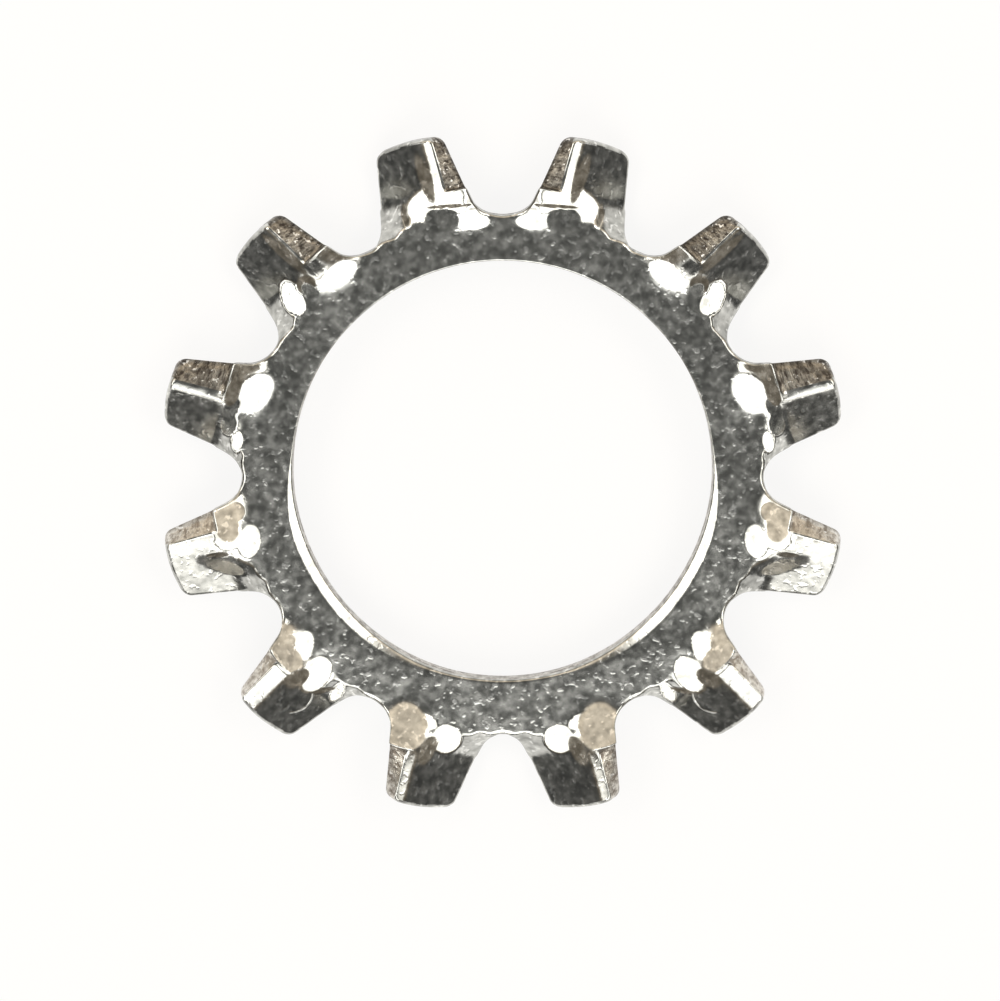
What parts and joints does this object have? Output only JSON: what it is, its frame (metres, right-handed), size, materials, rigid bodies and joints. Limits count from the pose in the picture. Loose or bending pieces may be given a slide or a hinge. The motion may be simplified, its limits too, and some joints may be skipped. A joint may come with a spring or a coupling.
{
  "type": "toothed lock washer",
  "caption": "Flat ring with twisted teeth around its outside, clamped under a nut or screw head so that it cannot work loose.",
  "frame": {"origin": "centre of the bore, at half the thickness of the flat ring", "axes": "+Z along the bore, out of the ring's upper face, whose edges are rolled; +Y through a gap between two teeth whose edges beside it are both raised"},
  "size_m": [0.0264, 0.0264, 0.0032],
  "materials": {
    "plated_steel": "bright nickel plated spring steel, with fine pits in the rolled faces and sheared edges"
  },
  "bodies": {
    "root": {"lock_washer": "plated_steel"}
  },
  "joints": []
}
